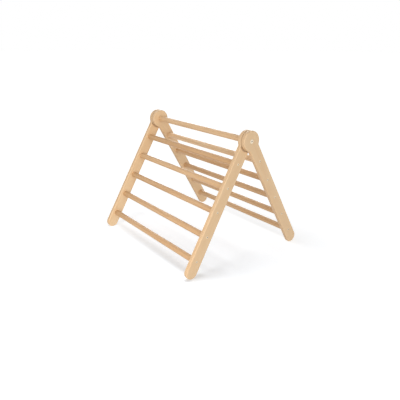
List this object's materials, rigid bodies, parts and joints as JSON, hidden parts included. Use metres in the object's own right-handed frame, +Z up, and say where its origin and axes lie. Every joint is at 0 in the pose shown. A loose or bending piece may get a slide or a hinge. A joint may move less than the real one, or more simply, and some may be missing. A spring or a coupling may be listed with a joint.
{
  "type": "folding climbing triangle",
  "caption": "Folding wooden climbing triangle: two staggered ladders of round rungs between flat round-ended rails, hinged on a shared top rung by bolts through disc-shaped heads.",
  "frame": {"origin": "on the floor under the middle of the frame, below the top rung", "axes": "+Z up; the rungs and the hinge axis lie along Y; the front ladder leans towards -X and the rear ladder towards +X"},
  "size_m": [0.597, 0.655, 0.539],
  "materials": {
    "birch_plywood": "fine-sanded, clear satin varnish",
    "beech_dowel": "fine-sanded, clear satin varnish",
    "zinc_steel": "zinc plated",
    "insert_brass": "as machined",
    "nylon": "natural nylon"
  },
  "bodies": {
    "front_ladder": {"front_rail_right": "birch_plywood", "front_rail_left": "birch_plywood", "front_rung_1": "beech_dowel", "front_rung_2": "beech_dowel", "front_rung_3": "beech_dowel", "front_rung_4": "beech_dowel", "front_rung_5": "beech_dowel", "top_rung": "beech_dowel", "front_screws_right": "zinc_steel", "front_screws_left": "zinc_steel", "pivot_bolt_right": "zinc_steel", "pivot_bolt_left": "zinc_steel", "spacer_washer_right": "nylon", "spacer_washer_left": "nylon", "threaded_insert_right": "insert_brass", "threaded_insert_left": "insert_brass"},
    "rear_ladder": {"rear_rail_right": "birch_plywood", "rear_rail_left": "birch_plywood", "rear_rung_1": "beech_dowel", "rear_rung_2": "beech_dowel", "rear_rung_3": "beech_dowel", "rear_rung_4": "beech_dowel", "rear_rung_5": "beech_dowel", "rear_screws_right": "zinc_steel", "rear_screws_left": "zinc_steel"}
  },
  "joints": [
    {"name": "fold_hinge", "type": "hinge", "parent": "front_ladder", "child": "rear_ladder", "pos_m": [0, 0, 0.49798], "axis": [0, 1, 0], "range_deg": [-30, 37]}
  ]
}
